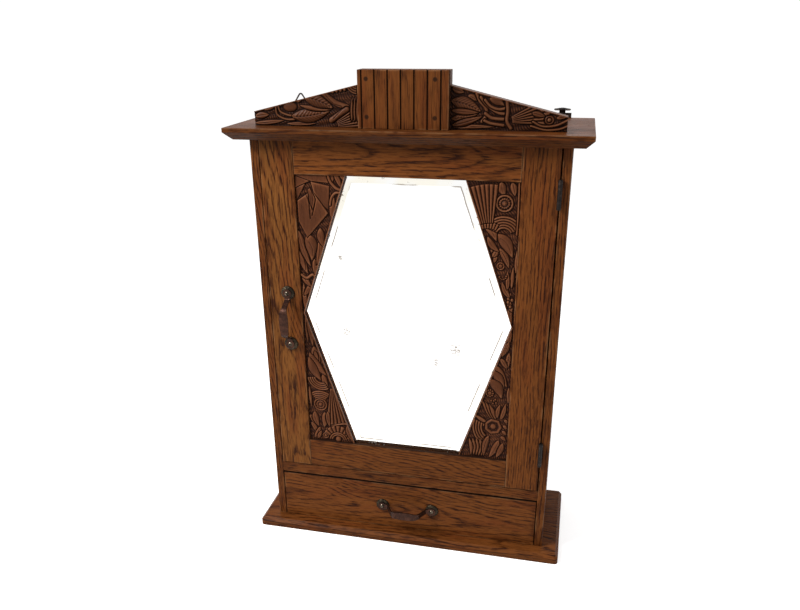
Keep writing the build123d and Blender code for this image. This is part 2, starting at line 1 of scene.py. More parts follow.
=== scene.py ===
# %% [markdown]
# # An oak wall cabinet with a mirror door
# The cabinet hangs on a wall: a door with a six-sided mirror, a drawer under it and a carved crest
# on its top board. Its boards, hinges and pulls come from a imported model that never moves. This
# lesson adds what that model leaves out: the carving, the beaten metal, the worn oak and the glass.

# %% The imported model
import json
import math
import random

import bmesh
import bpy
import numpy as np
from mathutils import Matrix, Vector


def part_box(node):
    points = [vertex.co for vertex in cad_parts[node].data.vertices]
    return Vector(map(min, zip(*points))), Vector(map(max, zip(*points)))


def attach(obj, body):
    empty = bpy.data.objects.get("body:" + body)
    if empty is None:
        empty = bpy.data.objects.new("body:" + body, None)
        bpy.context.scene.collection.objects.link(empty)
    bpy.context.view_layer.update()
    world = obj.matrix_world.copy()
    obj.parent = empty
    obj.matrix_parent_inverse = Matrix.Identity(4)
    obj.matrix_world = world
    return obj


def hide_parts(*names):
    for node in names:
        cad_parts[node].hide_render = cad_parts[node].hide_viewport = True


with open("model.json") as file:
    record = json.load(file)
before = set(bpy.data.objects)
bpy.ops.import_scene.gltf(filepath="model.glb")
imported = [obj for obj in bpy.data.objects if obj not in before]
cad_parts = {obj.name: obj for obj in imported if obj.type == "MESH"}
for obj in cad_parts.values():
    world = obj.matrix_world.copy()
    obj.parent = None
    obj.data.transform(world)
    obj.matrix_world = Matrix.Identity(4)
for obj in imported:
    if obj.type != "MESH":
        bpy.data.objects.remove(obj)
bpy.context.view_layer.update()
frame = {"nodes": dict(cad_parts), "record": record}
nodes = frame["nodes"]
mm = 0.001
print("pieces in the packed model:", len(nodes))

# %% [markdown]
# ## Camera
# The camera stands a little above the cabinet and to its right and looks down, so upright edges lean
# together towards the floor. A camera object could be aimed at a target, but three angles say the
# same thing with nothing left to solve: turn about the upright, tip down, and roll.

# %% Camera
camera_data = bpy.data.cameras.new("camera")
camera_data.lens = 34.2
camera_data.sensor_width = 36.0
camera_data.shift_y = 0.05
camera_data.clip_start = 0.01
camera = bpy.data.objects.new("camera", camera_data)
turn = Matrix.Rotation(0.227, 4, "Z")
tip = Matrix.Rotation(-0.404, 4, "X")
roll = Matrix.Rotation(0.008, 4, "Y")
level = Matrix.Rotation(math.radians(90), 4, "X")
place = Matrix.Translation((0.2044, -0.9758, 0.7128))
camera.matrix_world = place @ turn @ tip @ roll @ level
bpy.context.scene.collection.objects.link(camera)
bpy.context.scene.camera = camera
print("camera stands", round(-camera.location.y, 2), "m in front of the cabinet")

# %% [markdown]
# ## Nodes written as sums
# A material is a network of small nodes. Wiring them by hand hides the idea, so one class wraps a
# socket: adding, taking away or multiplying two of them makes the Math node that does it, and one
# method makes every other kind of node.


# %% A socket that does sums
object_output = 3  # of a Texture Coordinate node
factor_output = 2  # of an Attribute node


class Shade:
    """One output socket of a material's node tree."""

    def __init__(self, tree, socket=None):
        self.tree = tree
        self.socket = socket

    def node(self, kind, inputs, output=0, **settings):
        """Makes a node: its settings first, then a value or a link for each named input."""
        made = self.tree.nodes.new(kind)
        for name, value in settings.items():
            setattr(made, name, value)
        for name, value in inputs.items():
            if isinstance(value, Shade):
                self.tree.links.new(value.socket, made.inputs[name])
            else:
                made.inputs[name].default_value = value
        return Shade(self.tree, made.outputs[output])

    def math(self, operation, *values):
        return self.node("ShaderNodeMath", dict(enumerate(values)), operation=operation)

    def __add__(self, other):
        return self.math("ADD", self, other)

    def __radd__(self, other):
        return self.math("ADD", other, self)

    def __sub__(self, other):
        return self.math("SUBTRACT", self, other)

    def __rsub__(self, other):
        return self.math("SUBTRACT", other, self)

    def __mul__(self, other):
        return self.math("MULTIPLY", self, other)

    def __rmul__(self, other):
        return self.math("MULTIPLY", other, self)

    def __truediv__(self, other):
        return self.math("DIVIDE", self, other)

    def __abs__(self):
        return self.math("ABSOLUTE", self)

    def rise(self, low, high):
        """0 below low, 1 above high, and a smooth step between. It falls where low is above high."""
        ends = {"From Min": low, "From Max": high} if low < high else {"From Min": high, "From Max": low}
        ends |= {"To Min": 0.0, "To Max": 1.0} if low < high else {"To Min": 1.0, "To Max": 0.0}
        return self.node("ShaderNodeMapRange", {"Value": self} | ends, interpolation_type="SMOOTHSTEP")

    def parts(self):
        """The three numbers of a vector."""
        split = self.tree.nodes.new("ShaderNodeSeparateXYZ")
        self.tree.links.new(self.socket, split.inputs[0])
        return [Shade(self.tree, split.outputs[i]) for i in range(3)]

    def vector(self, x, y, z):
        return self.node("ShaderNodeCombineXYZ", {0: x, 1: y, 2: z})

    def noise(self, x, y, z, detail=2.0, rough=0.5):
        """Soft noise from 0 to 1 at a place given in units of its own grain."""
        inputs = {"Vector": self.vector(x, y, z), "Scale": 1.0, "Detail": detail, "Roughness": rough}
        return self.node("ShaderNodeTexNoise", inputs)

    def mix(self, a, b):
        """Colour a where this is 0, and colour b where it is 1."""
        a, b = (c if isinstance(c, Shade) else (*c, 1.0) for c in (a, b))
        inputs = {0: self, 6: a, 7: b}
        return self.node("ShaderNodeMix", inputs, output=2, data_type="RGBA", clamp_factor=True)

    def here(self):
        """The point being shaded, as x, y and z in the piece's own metres."""
        return self.node("ShaderNodeTexCoord", {}, output=object_output).parts()

    def stored(self, name):
        """A number that the mesh keeps on each of its points."""
        return self.node("ShaderNodeAttribute", {}, output=factor_output, attribute_name=name)


def new_material(name, **constants):
    """A material with one Principled surface, and the socket wrapper to build on."""
    material = bpy.data.materials.new(name)
    material.use_nodes = True
    surface = material.node_tree.nodes["Principled BSDF"]
    for socket, value in constants.items():
        surface.inputs[socket.replace("_", " ")].default_value = value
    return material, Shade(material.node_tree), surface


def feed(shade, surface, height=None, depth=0.0002, strength=1.0, **sockets):
    """Links colours and numbers to the surface, and a height to its normal through a Bump node."""
    for socket, value in sockets.items():
        shade.tree.links.new(value.socket, surface.inputs[socket.replace("_", " ")])
    if height is not None:
        bump = shade.node("ShaderNodeBump", {"Height": height, "Distance": depth, "Strength": strength})
        shade.tree.links.new(bump.socket, surface.inputs["Normal"])


# %% [markdown]
# ## Oak
# A board is cut from a trunk of rings. Looking along the grain, each ring starts with a row of open
# pores and ends dense and smooth. An image could be laid on the faces, but rings worked out in
# space run through the board, so the end grain and both faces agree. The heart of the tree lies
# behind the board and leans a little: that lean draws the pointed arches on the wide faces.

# %% Oak boards
LIGHT_OAK = (0.158, 0.0490, 0.0108)
GOLDEN_OAK = (0.176, 0.0640, 0.0150)
RED_OAK = (0.135, 0.0330, 0.0080)
DARK_OAK = (0.022, 0.0050, 0.0012)
WORN_OAK = (0.24, 0.115, 0.050)
rubbed_edge = 0.0022  # how far from an arris the stain is rubbed off, in metres
# how far from an arris the wood is darkened, partly as grime and partly as painted shade, in metres
grimy_shaded_edge = 0.012
SOOT_AND_SHADE = (0.010, 0.0045, 0.0025)
board_axes = {"X": (0, 2, 1), "Y": (1, 0, 2), "Z": (2, 0, 1)}  # along the grain, across it, and depth


def edge_distance(shade, place, low, high):
    """How far a point on a board's surface is from the board's nearest arris, in metres."""
    gaps = []
    for i in range(3):
        gaps.append(shade.math("MINIMUM", abs(place[i] - low[i]), abs(high[i] - place[i])))
    first = shade.math("MINIMUM", gaps[0] + gaps[1], gaps[1] + gaps[2])
    return shade.math("MINIMUM", first, gaps[0] + gaps[2])


def rings_of(shade, place, middle, along, seed, heart, lean, pitch):
    """Growth rings: how much of the porous early wood is at a point, and the grain's own axes."""
    u, v, w = (place[i] - middle[i] for i in board_axes[along])
    slow = shade.noise(u * 5 + seed, v * 14, w * 14, detail=2.0) - 0.5
    quick = shade.noise(u * 22, v * 150 + seed, w * 150, detail=1.0) - 0.5
    side = v + (heart[0] + lean[0] * u + 0.034 * slow)
    deep = w + (heart[1] + lean[1] * u + 0.026 * slow)
    radius = shade.math("SQRT", side * side + deep * deep) + 0.0012 * quick
    turn = shade.math("FRACT", radius / pitch)
    early = turn.rise(0.42, 0.0) + 0.5 * turn.rise(0.80, 1.0)
    return early, (u, v, w)


def oak(name, low, high, along, seed, tone=1.0, heart=None, lean=(0.05, 0.06), pitch=0.0036,
        light=LIGHT_OAK, red=RED_OAK, dark=DARK_OAK, wear=1.0, gloss=0.40, boards=None, soiled_and_shaded=None,
        figure=1.0):
    """Waxed oak for the board between two corners, with its grain along X, Y or Z.

    heart and lean place the middle of the tree, pitch is the width of a ring in metres and figure how
    strongly the rings show. boards is a count and an axis, for a piece glued up from several boards.
    """
    rng = random.Random(seed)
    material, shade, surface = new_material(name, Specular_IOR_Level=0.07, IOR=1.45)
    place = shade.here()
    middle = [(a + b) / 2 for a, b in zip(low, high)]
    if heart is None:
        heart = (rng.uniform(-0.03, 0.03), rng.uniform(0.035, 0.06))
    early, (u, v, w) = rings_of(shade, place, middle, along, seed * 3.1, heart, lean, pitch)
    fibre = shade.noise(u * 30, v * 1500 + seed, w * 1500, detail=3.0, rough=0.6)
    pores = shade.noise(u * 60 + seed, v * 1150, w * 1150, detail=1.5, rough=0.4)
    pores = pores.rise(0.54, 0.68) * (0.30 + 0.85 * early)
    dash = shade.noise(u * 36 + seed, v * 560, w * 560, detail=1.0).rise(0.42, 0.54)
    tick = shade.noise(u * 70 - seed, v * 640, w * 640, detail=1.0).rise(0.54, 0.60)
    ruddy = shade.noise(u * 9 - seed, v * 60, w * 60, detail=3.0, rough=0.6).rise(0.44, 0.66)
    cloud = shade.noise(u * 4, v * 16 + seed, w * 16, detail=3.0, rough=0.55)
    streak = shade.noise(u * 3 + seed, v * 95, w * 95, detail=2.0)
    depth = (0.86 * figure) * early * (0.16 + 0.84 * dash) + (0.44 * figure) * tick + 0.44 * pores
    line = shade.noise(u * 26 + seed, v * 780, w * 780, detail=1.0)
    depth = depth + 0.8 * (fibre - 0.5) + 0.8 * (cloud - 0.5) + 0.4 * (streak - 0.5) + 0.9 * (line - 0.5)
    ground = (ruddy * 0.62).mix([c * tone for c in light], [c * tone for c in red])
    colour = (depth + 0.06).mix(ground, [c * tone for c in dark])
    edge = edge_distance(shade, place, low, high)
    rub = shade.noise(place[0] * 45, place[1] * 45, place[2] * 45 + seed, detail=3.0)
    worn = edge.rise(rubbed_edge, 0.0004) * rub.rise(0.42, 0.62) * (0.55 * wear)
    colour = worn.mix(colour, [c * tone for c in WORN_OAK])
    # Darker towards every arris: partly old grime, partly painted shade standing in for the shadow gaps
    # between boards.
    grime_and_shade = edge.rise(grimy_shaded_edge, 0.0) * rub.rise(0.55, 0.30) * 0.55
    colour = grime_and_shade.mix(colour, [c * 1.25 for c in dark])
    rough = gloss + 0.16 * pores + 0.22 * (cloud - 0.5) + 0.10 * grime_and_shade
    # Marks each board is given: dark joint lines, and painted shade in gaps and grooves.
    if soiled_and_shaded is not None:
        soot_and_shade = soiled_and_shaded(place)
        colour = soot_and_shade.mix(colour, SOOT_AND_SHADE)
        rough = rough + 0.45 * soot_and_shade
    if boards:
        count, axis = boards
        index = shade.math("FLOOR", (place[axis] - low[axis]) * (count / (high[axis] - low[axis])))
        shift = shade.node("ShaderNodeTexWhiteNoise", {"W": index + seed}, noise_dimensions="1D")
        colour = (shift * 0.45).mix(colour, [c * 0.8 for c in dark])
    height = 0.6 * fibre - 1.0 * pores - 0.35 * early
    feed(shade, surface, height, depth=0.00022, strength=0.75, Base_Color=colour, Roughness=rough)
    return material


# %% [markdown]
# Each board gets its own material, because no two boards come from the same place in the tree: its
# grain runs along its length, and a seed moves the heart, the clouds and the wear.

# %% Which way each board's grain runs
shown_oak = {
    "side_left": ("Z", 0.95), "side_right": ("Z", 0.95), "top_board": ("X", 0.64),
    "base_board": ("X", 0.86), "divider_board": ("X", 0.90), "crest_block": ("X", 0.80),
    "crest_reeded_face": ("Z", 0.80), "door_stile_left": ("Z", 1.04), "door_stile_right": ("Z", 1.02),
    "door_rail_top": ("X", 1.08), "door_rail_bottom": ("X", 0.93), "drawer_front": ("X", 1.00),
}
hearts = {
    "door_stile_left": (0.012, 0.046), "door_stile_right": (-0.060, 0.050),
    "door_rail_top": (-0.008, 0.040), "door_rail_bottom": (0.05, 0.06), "drawer_front": (0.004, 0.055),
    "crest_reeded_face": (0.03, 0.06), "base_board": (0.07, 0.05), "top_board": (0.03, 0.05),
}


def dress(node, material):
    """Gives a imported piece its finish."""
    slots = nodes[node].data.materials
    if len(slots) == 0:
        slots.append(material)
    for i in range(len(slots)):
        slots[i] = material


opening_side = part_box("door_stile_right")[0].x
opening_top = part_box("door_rail_top")[0].z
opening_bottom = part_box("door_rail_bottom")[1].z
reed_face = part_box("crest_reeded_face")[0].y
nails_across = (-44.2, 38.4)
nails_up = (606.7, 649.8)
nail_places = [(x * mm, z * mm) for x in nails_across for z in nails_up]


def joint_line(place):
    """The thin dark line where a rail meets a stile."""
    return abs(abs(place[0]) - opening_side).rise(0.0009, 0.0003) * 0.85


def joint_and_ledge(place):
    """The joint line, and the ledge below the glass darkened almost to black."""
    ledge = (place[2] - opening_bottom).rise(-0.0009, -0.0003)
    return place[0].math("MAXIMUM", joint_line(place), ledge * 0.92)


def reeds_and_nails(place):
    """Painted shade in the grooves between the reeds, and black spots painted round the nails."""
    # Painted shade: darker wherever the surface lies behind the face of the reeds.
    stain = (place[1] - reed_face).rise(0.0002, 0.0010) * 0.9
    for x, z in nail_places:
        across = place[0] - x
        up = place[2] - z
        away = place[0].math("SQRT", across * across + up * up)
        stain = place[0].math("MAXIMUM", stain, away.rise(0.0034, 0.0018) * 0.85)
    return stain


drawer_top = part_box("drawer_front")[1].z
divider_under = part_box("divider_board")[0].z


def drawer_gap_shade(place):
    """Painted shade round the gap above the drawer, on the edges that face each other."""
    above = abs(place[2] - divider_under).rise(0.0008, 0.0003)
    below = abs(place[2] - drawer_top).rise(0.0007, 0.0002)
    return place[0].math("MAXIMUM", above, below) * 0.94


# Marks painted on some boards: dark joint lines, black spots at the nails, a ledge darkened almost
# black, and painted shade in the reed grooves and the drawer gap.
soils_and_shade = {
    "door_rail_top": joint_line, "door_rail_bottom": joint_and_ledge,
    "crest_reeded_face": reeds_and_nails, "drawer_front": drawer_gap_shade, "divider_board": drawer_gap_shade,
}
leans = {"crest_reeded_face": (0.01, 0.02), "door_stile_left": (0.09, 0.05)}
for number, (node, (along, tone)) in enumerate(shown_oak.items()):
    low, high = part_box(node)
    material = oak(f"oak {node}", low, high, along, number + 1.0, tone, hearts.get(node),
                   leans.get(node, (0.05, 0.06)), soiled_and_shaded=soils_and_shade.get(node),
                   light=GOLDEN_OAK if node == "door_stile_left" else LIGHT_OAK,
                   figure=0.4 if node == "crest_reeded_face" else 1.0)
    dress(node, material)
print("oak boards:", len(shown_oak))

# %% [markdown]
# Boards inside the cabinet were never stained: pale, dry and dusty. They are the same wood with
# lighter colours, less gloss and finer rings.

# %% Inner boards
PALE_OAK = (0.42, 0.235, 0.105)
PALE_RED = (0.36, 0.185, 0.080)
PALE_PORES = (0.17, 0.078, 0.030)
inner = {
    "back_boards": ("Z", (3, 0)), "shelf_lower": ("X", None), "shelf_upper": ("X", None),
    "shelf_cleats": ("Y", None), "door_stops": ("X", None), "drawer_stops": ("X", None),
    "top_dowels": ("Z", None), "mirror_backing_board": ("X", None), "mirror_beads": ("Z", None),
    "drawer_side_left": ("Y", None), "drawer_side_right": ("Y", None), "drawer_back": ("X", None),
    "drawer_bottom": ("X", None),
}
for number, (node, (along, boards)) in enumerate(inner.items()):
    low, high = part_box(node)
    tone = 0.9 + 0.03 * (number % 4)
    material = oak(f"bare {node}", low, high, along, number + 31.0, tone, pitch=0.0024, light=PALE_OAK,
                   red=PALE_RED, dark=PALE_PORES, wear=0.3, gloss=0.62, boards=boards)
    dress(node, material)
print("inner boards:", len(inner))

# %% [markdown]
# ## Metal
# Old bronze is almost black in its hollows and rubbed to brown where hands reach. Cast and beaten
# metal differs from wood in one setting above all: it is metallic, so its colour is in its shine.


# %% Metals
def metal(name, dull, bright, rough, scale, dent, metallic=0.85, patch=(0.45, 0.65)):
    """Metal with a dull skin, rubbed to a brighter one in patches, with dents of a given size."""
    material, shade, surface = new_material(name, Metallic=metallic)
    x, y, z = shade.here()
    skin = shade.noise(x * 180, y * 180, z * 180, detail=4.0, rough=0.6)
    fine = shade.noise(x * 1600, y * 1600, z * 1600, detail=2.0)
    inputs = {"Vector": shade.vector(x, y, z), "Scale": scale, "Smoothness": 0.6}
    cell = shade.node("ShaderNodeTexVoronoi", inputs, feature="SMOOTH_F1")
    rubbed = skin.rise(*patch)
    colour = rubbed.mix(dull, bright)
    colour = (fine.rise(0.5, 0.75) * 0.5).mix(colour, [c * 0.5 for c in dull])
    feed(shade, surface, cell + 0.25 * fine, depth=dent, strength=0.8, Base_Color=colour,
         Roughness=rough + 0.25 * (skin - 0.5) - 0.1 * rubbed)
    return material


finishes = {
    "aged_bronze": metal("aged bronze", (0.021, 0.0074, 0.0040), (0.058, 0.0215, 0.0115), 0.42, 420,
                         0.0003, patch=(0.35, 0.80)),
    "blackened_steel": metal("blackened steel", (0.011, 0.008, 0.007), (0.050, 0.032, 0.024), 0.45, 700,
                             0.00012, patch=(0.50, 0.75)),
    "dark_wire": metal("dark wire", (0.022, 0.018, 0.016), (0.12, 0.10, 0.085), 0.45, 900, 0.00005),
    "brass": metal("tarnished brass", (0.22, 0.13, 0.045), (0.60, 0.42, 0.17), 0.38, 800, 0.00005),
    "steel": metal("polished steel", (0.42, 0.41, 0.40), (0.62, 0.61, 0.60), 0.18, 900, 0.00002, 1.0),
    "screw_steel": metal("screw steel", (0.085, 0.060, 0.042), (0.30, 0.26, 0.21), 0.42, 900, 0.00005),
}
for row in frame["record"]["subparts"]:
    if row["material_slot"] in finishes:
        dress(row["node"], finishes[row["material_slot"]])
screw_bronze = metal("screw bronze", (0.026, 0.018, 0.011), (0.150, 0.118, 0.085), 0.26, 900, 0.00003)
for node in ("door_pull_screws", "drawer_pull_screws"):
    dress(node, screw_bronze)
print("metal finishes:", len(finishes) + 1)

# %% [markdown]
# Under each end of a pull lies a beaten rosette: a round plate with hammer marks in rings about its
# screw. A bump in the finish would leave its outline flat, so a sphere is pressed into a plate, its
# lower half flat and its upper half raised and dimpled by how far round and out each point is.


# %% Beaten rosettes
def new_piece(name, form):
    """Turns a finished bmesh into an object in the scene."""
    mesh = bpy.data.meshes.new(name)
    form.to_mesh(mesh)
    form.free()
    piece = bpy.data.objects.new(name, mesh)
    bpy.context.scene.collection.objects.link(piece)
    return piece


olive = metal("olive bronze", (0.012, 0.008, 0.0042), (0.052, 0.037, 0.020), 0.40, 700, 0.0002,
              patch=(0.38, 0.75))
hammer_marks = 14  # in each ring


def beaten_plate(form, centre, back, rise, radius, turn):
    """Adds one rosette to a mesh that is being built, with its back on the wood."""
    ball = bmesh.ops.create_uvsphere(form, u_segments=56, v_segments=28, radius=1.0)["verts"]
    for vert in ball:
        flat = math.hypot(vert.co.x, vert.co.y)
        out = math.atan2(flat, abs(vert.co.z)) / (math.pi / 2)
        angle = math.atan2(vert.co.y, vert.co.x) + turn
        marks = 0.5 + 0.5 * math.cos(angle * hammer_marks) * math.cos((out - 0.80) * 17)
        ring = min(1.0, max(0.0, (out - 0.52) / 0.1)) * min(1.0, max(0.0, (1.0 - out) / 0.08))
        lift = rise * (1 - 0.30 * ring * marks - 0.45 * max(0.0, out - 0.62) / 0.38)
        reach = radius * out * (1 - 0.022 * (1 + math.cos(angle * hammer_marks)) * out**4)
        up = lift if vert.co.z > 1e-6 or out < 0.999 and vert.co.z > -1e-6 else 0.0
        side = (reach * math.cos(angle - turn), reach * math.sin(angle - turn))
        vert.co = (centre[0] + side[0], back - up, centre[1] + side[1])


for node, body, along in (("door_pull_rosettes", "door", "z"), ("drawer_pull_rosettes", "drawer", "x")):
    low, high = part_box(node)
    radius = min(high.x - low.x, high.z - low.z) / 2
    form = bmesh.new()
    for number in (0, 1):
        if along == "z":
            centre = ((low.x + high.x) / 2, (low.z + radius, high.z - radius)[number])
        else:
            centre = ((low.x + radius, high.x - radius)[number], (low.z + high.z) / 2)
        beaten_plate(form, centre, high.y, high.y - low.y, radius, 0.3 * number)
    for face in form.faces:
        face.smooth = True
    bmesh.ops.recalc_face_normals(form, faces=form.faces)
    plates = new_piece(f"beaten_{node}", form)
    plates.data.materials.append(olive)
    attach(plates, body)
    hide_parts(node)
    print(plates.name, len(plates.data.polygons), "faces")

# %% [markdown]
# ## Mirror
# The glass is silvered on its back, which a metallic surface with almost no roughness stands for.
# Damp creeps in from the edge: along the bevel the silver has gone in short brown-grey runs, and a
# few specks lie further in. The distance to the six edges of the flat decides where.

# %% Mirror glass
low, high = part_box("mirror_glass")
material, shade, surface = new_material("silvered glass", Specular_IOR_Level=0.5)
x, y, z = shade.here()
dress("mirror_glass", material)
mirror_ends = (0.1499, 0.5345)
mirror_middle = 0.3468
half_width_middle = 0.1405
half_width_ends = 0.076
bevel_line = 0.009


def sight_distance(shade, x, z):
    """How far a point of the glass is inside the edge of the wood, in metres."""
    sides = []
    for end in mirror_ends:
        run = half_width_middle - half_width_ends
        rise = end - mirror_middle
        length = math.hypot(run, rise)
        sides.append(((half_width_middle - abs(x)) * abs(rise) - abs(z - mirror_middle) * run) / length)
    slanted = shade.math("MINIMUM", *sides)
    flat = shade.math("MINIMUM", z - mirror_ends[0], mirror_ends[1] - z)
    return shade.math("MINIMUM", slanted, flat)


inside = sight_distance(shade, x, z)
wander = shade.noise(x * 90, z * 90, 3.0, detail=3.0) - 0.5
line = abs(inside + 0.0012 * wander - bevel_line).rise(0.0012, 0.0003)
broken = shade.noise(x * 17, z * 17, 7.0, detail=2.0).rise(0.49, 0.56)
speck = shade.noise(x * 420, z * 420, 5.0, detail=3.0).rise(0.66, 0.74)
patchy = shade.noise(x * 14, z * 14, 9.0, detail=2.0).rise(0.56, 0.68)
chips = shade.noise(x * 260, z * 260, 2.0, detail=4.0).rise(0.56, 0.64)
creep = inside.rise(0.010, 0.001) * chips * shade.noise(x * 30, z * 30, 9.0, detail=1.0).rise(0.54, 0.60)
smudges = [  # across, up and reach, in metres
    (-0.083, 0.323, 0.011), (-0.086, 0.428, 0.009), (0.068, 0.309, 0.016), (0.040, 0.288, 0.010),
]
smear = shade.noise(x * 200, z * 700, 4.0, detail=3.0).rise(0.43, 0.54)
marks = 0.0
for across, up, reach in smudges:
    side = x - across
    above = z - up
    near = shade.math("SQRT", side * side + above * above).rise(reach, reach * 0.2)
    marks = shade.math("MAXIMUM", marks, near * smear * 0.80)
gone = shade.math("MAXIMUM", line * broken * 0.90, speck * patchy * 0.8)
gone = shade.math("MAXIMUM", gone, shade.math("MAXIMUM", marks, creep * 0.95))
# A faint grey in patches: a painted reflection of the room.
reflection_tint = shade.noise(x * 7, z * 7, 11.0, detail=2.0).rise(0.45, 0.75)
silver = reflection_tint.mix((0.955, 0.955, 0.955), (0.925, 0.925, 0.91))
warm = inside.rise(0.0105, 0.0080) * shade.noise(x * 25, z * 25, 13.0, detail=2.0).rise(0.38, 0.62)
silver = warm.mix(silver, (0.93, 0.895, 0.80))
colour = gone.mix(silver, (0.20, 0.155, 0.11))
feed(shade, surface, Base_Color=colour, Metallic=1.0 - 0.7 * gone, Roughness=0.02 + 0.45 * gone)
print("mirror is", round((high.z - low.z) * 1000), "mm tall")

# %% [markdown]
# ## Carving
# The four corner panels of the door and the two wings of the crest are carved with leaves, fans and
# flowers about three millimetres deep. Sculpting by hand would look best but can't be repeated, so
# each panel is a fine grid whose points are lowered by a height that is built up as a carver works:
# ground first, then each motif set in with a groove round it, the upper ones over the lower ones.


# %% Carver's tools
def ease(value, low, high):
    """0 below low and 1 above high, smooth between, for whole arrays of points."""
    t = np.clip((value - low) / (high - low), 0.0, 1.0)
    return t * t * (3 - 2 * t)


def round_over(share):
    """The height of a rounded back, 1 along its middle and 0 at its edges, where share is 1 or -1."""
    return np.clip(1 - abs(share) ** 2.2, 0.0, 1.0) ** 0.8


class Relief:
    """Heights in mm over the points of a panel: 0 at its face and less below it."""

    groove = -2.75

    def __init__(self, x, z):
        self.x = x
        self.z = z
        across = x * 0.86 + z * 0.50
        along = z * 0.86 - x * 0.50
        strokes = abs(np.sin(across * 1.05 + 1.1 * np.sin(along * 0.33)))
        strokes = strokes * (0.65 + 0.35 * np.sin(along * 0.8 + across * 0.3))
        self.h = -2.45 + 0.95 * strokes

    def put(self, inside, height, line=0.75, soft=0.9):
        """Sets a motif in: inside is how far each point lies within its outline."""
        ring = ease(inside, -line, 0.0) * (inside <= 0)
        self.h += (np.minimum(self.groove, self.h) - self.h) * ring
        raised = self.groove + (height - self.groove) * ease(inside, 0.0, soft)
        self.h = np.where(inside > 0, raised, self.h)

    def leaf(self, base, tip, width, bend=0.0, high=-0.1, low=-2.1, ribs=0.0, fold=0.8, full=0.8):
        """A pointed leaf from base to tip, bowed sideways by bend, with a midrib and side veins."""
        run = (tip[0] - base[0], tip[1] - base[1])
        length = math.hypot(*run)
        u = ((self.x - base[0]) * run[0] + (self.z - base[1]) * run[1]) / length**2
        v = (-(self.x - base[0]) * run[1] + (self.z - base[1]) * run[0]) / length
        v = v - bend * 4 * u * (1 - u)
        t = np.clip(u, 0.0, 1.0)
        half = width * 0.59 * np.sin(np.pi * t**full) ** 0.85
        beyond = length * np.maximum(np.maximum(-u, u - 1), 0.0)
        dome = round_over(v / np.maximum(half, 0.1))
        height = low + (high - low) * dome
        height -= fold * np.exp(-((v / 0.55) ** 2)) * (t < 0.93)
        if ribs:
            height += 0.28 * np.cos((u * length - 1.1 * abs(v)) * 2 * np.pi / ribs) * dome
        self.put(half - abs(v) - beyond, height)

    def polar(self, centre):
        """Each point's distance from a centre, and its direction in degrees."""
        across = self.x - centre[0]
        up = self.z - centre[1]
        return np.hypot(across, up), np.degrees(np.arctan2(up, across))

    def fan(self, centre, start, stop, count, near, far, high=-0.1, low=-2.2):
        """Round flutes that spread from a centre between two angles."""
        reach, angle = self.polar(centre)
        middle = (start + stop) / 2
        angle = (angle - middle + 180) % 360 - 180
        half = (stop - start) / 2
        flute = ((angle + half) / (2 * half) * count) % 1.0 - 0.5
        height = low + (high - low) * round_over(2.1 * flute)
        side = np.radians(half - abs(angle)) * np.maximum(reach, 1.0)
        self.put(np.minimum(np.minimum(reach - near, far - reach), side), height)

    def arcs(self, centre, near, pitch, count, start=-180.0, stop=180.0, flat=1.0, high=-0.1, low=-2.2):
        """Round bands that follow each other outwards, as a cup or an arch."""
        across = self.x - centre[0]
        up = (self.z - centre[1]) / flat
        reach = np.hypot(across, up)
        angle = np.degrees(np.arctan2(up, across))
        middle = (start + stop) / 2
        half = (stop - start) / 2
        angle = (angle - middle + 180) % 360 - 180
        band = ((reach - near) / pitch) % 1.0 - 0.5
        height = low + (high - low) * round_over(2.1 * band)
        side = np.radians(half - abs(angle)) * np.maximum(reach, 1.0) + (half > 179) * 9.0
        self.put(np.minimum(np.minimum(reach - near, near + count * pitch - reach), side), height)

    def flower(self, centre, radius, petals=8, rings=2, sides=0):
        """Rings round a centre bead, the outer one cut into petals."""
        reach, angle = self.polar(centre)
        if sides:
            corner = 360 / sides
            reach = reach * np.cos(np.radians((angle % corner) - corner / 2))
        share = reach / radius
        height = -0.25 - 1.5 * (0.5 + 0.5 * np.cos(share * rings * 2 * np.pi))
        cuts = 0.5 + 0.5 * np.cos(np.radians(angle * petals))
        height -= 0.75 * cuts * ease(share, 0.35, 0.5) * ease(share, 0.85, 0.7)
        bead = np.sqrt(np.clip(1 - (share / 0.22) ** 2, 0.0, 1.0))
        height = np.where(share < 0.22, -1.6 + 1.5 * bead, height)
        self.put(radius - reach, height)

    def bud(self, centre, wide, tall, high=-0.1, low=-2.1):
        """A plain rounded boss."""
        share = np.hypot((self.x - centre[0]) / wide, (self.z - centre[1]) / tall)
        height = low + (high - low) * round_over(share)
        self.put((1 - share) * min(wide, tall), height)

    def facet(self, corners, slope=(0.0, 0.0), high=-0.3):
        """A flat plane between straight edges, given anticlockwise, leaning by slope mm per mm."""
        middle = np.mean(corners, axis=0)
        inside = np.full(self.x.shape, 1e3)
        for (ax, az), (bx, bz) in zip(corners, corners[1:] + corners[:1]):
            run = math.hypot(bx - ax, bz - az)
            inside = np.minimum(inside, ((bx - ax) * (self.z - az) - (bz - az) * (self.x - ax)) / run)
        height = high + slope[0] * (self.x - middle[0]) + slope[1] * (self.z - middle[1])
        self.put(inside, np.clip(height, -2.4, 0.0), soft=0.6)

